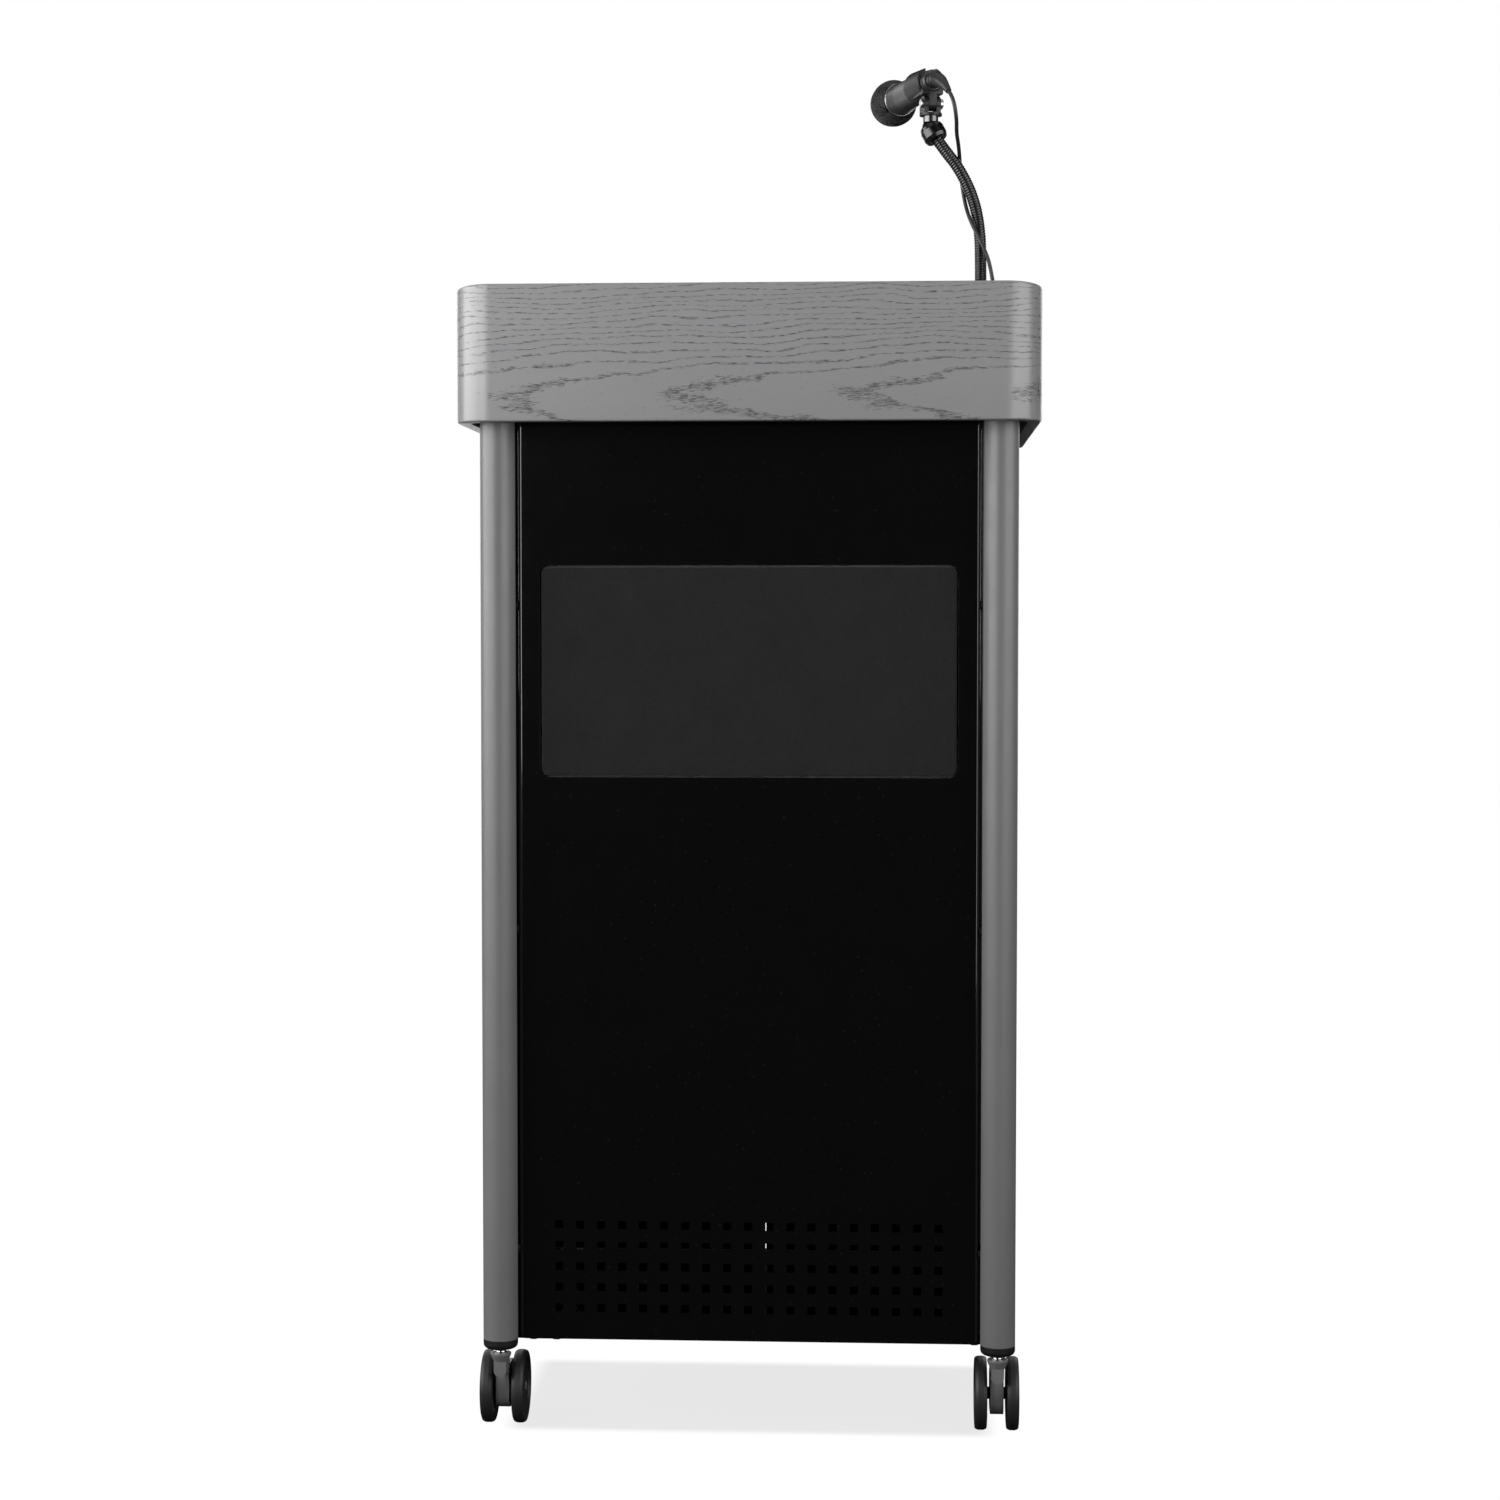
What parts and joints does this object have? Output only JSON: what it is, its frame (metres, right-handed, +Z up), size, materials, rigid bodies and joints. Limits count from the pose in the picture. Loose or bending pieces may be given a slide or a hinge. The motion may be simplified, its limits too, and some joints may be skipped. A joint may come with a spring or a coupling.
{
  "type": "lectern podium",
  "caption": "Floor lectern on casters with a wood-grain desk skirt, tubular legs, vented steel cabinet with rear doors, speaker grille and a gooseneck microphone.",
  "frame": {"origin": "on the floor, under the middle of the desk", "axes": "+Z up, -Y towards the audience, +Y towards the speaker, +X to the right seen from the audience"},
  "size_m": [0.597, 0.508, 1.4216],
  "materials": {
    "skirt_laminate": "satin",
    "board_laminate": "satin",
    "grey_paint": "satin",
    "black_paint": "gloss",
    "black_plastic": "satin",
    "grey_plastic": "satin",
    "wheel_rubber": "matte",
    "steel": "satin",
    "chrome": "polished",
    "zinc_screw": "satin",
    "grille_foam": "matte",
    "grille_steel": "satin",
    "enclosure_board": "matte",
    "cone_paper": "matte",
    "basket_steel": "satin",
    "panel_aluminium": "satin",
    "gooseneck_steel": "satin",
    "cable_jacket": "satin"
  },
  "bodies": {
    "root": {"desk_skirt": "skirt_laminate", "reading_surface": "board_laminate", "desk_frame": "black_paint", "leg_front_left": "grey_paint", "leg_front_right": "grey_paint", "leg_rear_left": "grey_paint", "leg_rear_right": "grey_paint", "leg_end_caps": "black_plastic", "caster_stems": "chrome", "front_panel": "black_paint", "side_panel_left": "black_paint", "side_panel_right": "black_paint", "bottom_panel": "black_paint", "upper_shelf": "black_paint", "cabinet_shelf": "black_paint", "panel_spacers": "black_plastic", "panel_screws": "zinc_screw", "door_pins": "steel", "speaker_grille": "grille_foam", "speaker_enclosure": "enclosure_board", "speaker_baskets": "basket_steel", "speaker_cones": "cone_paper", "amplifier_chassis": "basket_steel", "control_panel": "panel_aluminium", "panel_jacks": "steel", "power_inlet": "black_plastic", "gooseneck_base": "gooseneck_steel", "gooseneck": "gooseneck_steel", "gooseneck_collar": "gooseneck_steel", "clip_stud": "chrome", "clip_base": "black_plastic", "clip_screw": "zinc_screw", "cable_grommet": "black_plastic", "mic_cable": "cable_jacket"},
    "caster_front_left": {"caster_front_left_housing": "grey_plastic"},
    "caster_front_left_wheel_left": {"caster_front_left_wheel_left": "wheel_rubber"},
    "caster_front_left_wheel_right": {"caster_front_left_wheel_right": "wheel_rubber"},
    "caster_front_right": {"caster_front_right_housing": "grey_plastic"},
    "caster_front_right_wheel_left": {"caster_front_right_wheel_left": "wheel_rubber"},
    "caster_front_right_wheel_right": {"caster_front_right_wheel_right": "wheel_rubber"},
    "caster_rear_left": {"caster_rear_left_housing": "grey_plastic"},
    "caster_rear_left_wheel_left": {"caster_rear_left_wheel_left": "wheel_rubber"},
    "caster_rear_left_wheel_right": {"caster_rear_left_wheel_right": "wheel_rubber"},
    "brake_pedal_left": {"brake_pedal_left": "grey_plastic"},
    "caster_rear_right": {"caster_rear_right_housing": "grey_plastic"},
    "caster_rear_right_wheel_left": {"caster_rear_right_wheel_left": "wheel_rubber"},
    "caster_rear_right_wheel_right": {"caster_rear_right_wheel_right": "wheel_rubber"},
    "brake_pedal_right": {"brake_pedal_right": "grey_plastic"},
    "door_left": {"door_left": "black_paint", "door_pull_left": "black_plastic"},
    "door_right": {"door_right": "black_paint", "door_pull_right": "black_plastic"},
    "microphone_volume_knob": {"microphone_volume_knob": "black_plastic"},
    "line_volume_knob": {"line_volume_knob": "black_plastic"},
    "power_switch": {"power_switch": "black_plastic"},
    "microphone": {"mic_clip": "black_plastic", "mic_body": "black_paint", "mic_ring": "chrome", "mic_grille": "grille_steel", "mic_plug": "cable_jacket"}
  },
  "joints": [
    {"name": "caster_front_left_swivel", "type": "hinge", "parent": "root", "child": "caster_front_left", "pos_m": [-0.258, -0.212, 0.07], "axis": [0, 0, 1], "continuous": true},
    {"name": "caster_front_left_left_spin", "type": "hinge", "parent": "caster_front_left", "child": "caster_front_left_wheel_left", "pos_m": [-0.258, -0.176, 0.038], "axis": [1, 0, 0], "continuous": true},
    {"name": "caster_front_left_right_spin", "type": "hinge", "parent": "caster_front_left", "child": "caster_front_left_wheel_right", "pos_m": [-0.258, -0.176, 0.038], "axis": [1, 0, 0], "continuous": true},
    {"name": "caster_front_right_swivel", "type": "hinge", "parent": "root", "child": "caster_front_right", "pos_m": [0.258, -0.212, 0.07], "axis": [0, 0, 1], "continuous": true},
    {"name": "caster_front_right_left_spin", "type": "hinge", "parent": "caster_front_right", "child": "caster_front_right_wheel_left", "pos_m": [0.258, -0.176, 0.038], "axis": [1, 0, 0], "continuous": true},
    {"name": "caster_front_right_right_spin", "type": "hinge", "parent": "caster_front_right", "child": "caster_front_right_wheel_right", "pos_m": [0.258, -0.176, 0.038], "axis": [1, 0, 0], "continuous": true},
    {"name": "caster_rear_left_swivel", "type": "hinge", "parent": "root", "child": "caster_rear_left", "pos_m": [-0.258, 0.212, 0.07], "axis": [0, 0, 1], "continuous": true},
    {"name": "caster_rear_left_left_spin", "type": "hinge", "parent": "caster_rear_left", "child": "caster_rear_left_wheel_left", "pos_m": [-0.258, 0.176, 0.038], "axis": [1, 0, 0], "continuous": true},
    {"name": "caster_rear_left_right_spin", "type": "hinge", "parent": "caster_rear_left", "child": "caster_rear_left_wheel_right", "pos_m": [-0.258, 0.176, 0.038], "axis": [1, 0, 0], "continuous": true},
    {"name": "brake_left", "type": "hinge", "parent": "caster_rear_left", "child": "brake_pedal_left", "pos_m": [-0.258, 0.159, 0.0625], "axis": [1, 0, 0], "range_deg": [0, 12]},
    {"name": "caster_rear_right_swivel", "type": "hinge", "parent": "root", "child": "caster_rear_right", "pos_m": [0.258, 0.212, 0.07], "axis": [0, 0, 1], "continuous": true},
    {"name": "caster_rear_right_left_spin", "type": "hinge", "parent": "caster_rear_right", "child": "caster_rear_right_wheel_left", "pos_m": [0.258, 0.176, 0.038], "axis": [1, 0, 0], "continuous": true},
    {"name": "caster_rear_right_right_spin", "type": "hinge", "parent": "caster_rear_right", "child": "caster_rear_right_wheel_right", "pos_m": [0.258, 0.176, 0.038], "axis": [1, 0, 0], "continuous": true},
    {"name": "brake_right", "type": "hinge", "parent": "caster_rear_right", "child": "brake_pedal_right", "pos_m": [0.258, 0.159, 0.0625], "axis": [1, 0, 0], "range_deg": [0, 12]},
    {"name": "door_left_hinge", "type": "hinge", "parent": "root", "child": "door_left", "pos_m": [-0.226, 0.202, 0.5], "axis": [0, 0, 1], "range_deg": [0, 105]},
    {"name": "door_right_hinge", "type": "hinge", "parent": "root", "child": "door_right", "pos_m": [0.226, 0.202, 0.5], "axis": [0, 0, -1], "range_deg": [0, 105]},
    {"name": "microphone_volume_turn", "type": "hinge", "parent": "root", "child": "microphone_volume_knob", "pos_m": [0.1, 0.185, 0.996], "axis": [0, 1, 0], "range_deg": [0, 270]},
    {"name": "line_volume_turn", "type": "hinge", "parent": "root", "child": "line_volume_knob", "pos_m": [0.146, 0.185, 0.996], "axis": [0, 1, 0], "range_deg": [0, 270]},
    {"name": "power_switch_rock", "type": "hinge", "parent": "root", "child": "power_switch", "pos_m": [0.198, 0.183, 0.996], "axis": [1, 0, 0], "range_deg": [0, 12]},
    {"name": "microphone_tilt", "type": "hinge", "parent": "root", "child": "microphone", "pos_m": [0.1855, -0.17, 1.375], "axis": [0.9548, 0.2974, 0], "range_deg": [-30, 40], "deforming": ["mic_cable"]}
  ]
}
